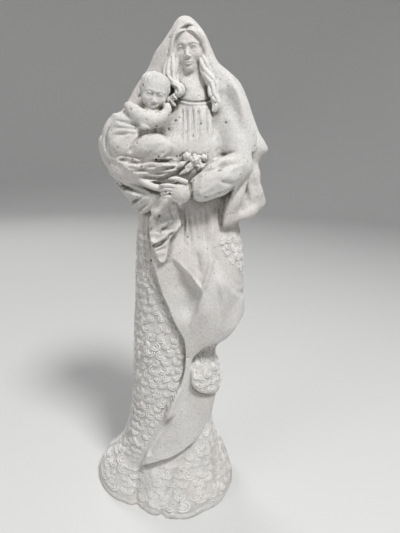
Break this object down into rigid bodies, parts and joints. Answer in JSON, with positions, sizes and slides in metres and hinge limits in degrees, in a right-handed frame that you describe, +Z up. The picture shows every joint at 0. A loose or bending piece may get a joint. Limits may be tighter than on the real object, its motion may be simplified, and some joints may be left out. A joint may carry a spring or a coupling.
{
  "type": "virgin and child statue",
  "caption": "Standing veiled woman holding a swaddled child on one arm, cast in pale concrete as a single piece with a flared hem that it stands on.",
  "frame": {"origin": "middle of the whole figure's width and depth, at the height of its underside", "axes": "+Z up along the figure, -Y to the front that the figures look out of, +X to the viewer's right, away from the child"},
  "size_m": [0.236, 0.175, 0.65],
  "materials": {
    "cast_concrete": "matte"
  },
  "bodies": {
    "root": {"virgin_and_child_statue": "cast_concrete"}
  },
  "joints": []
}
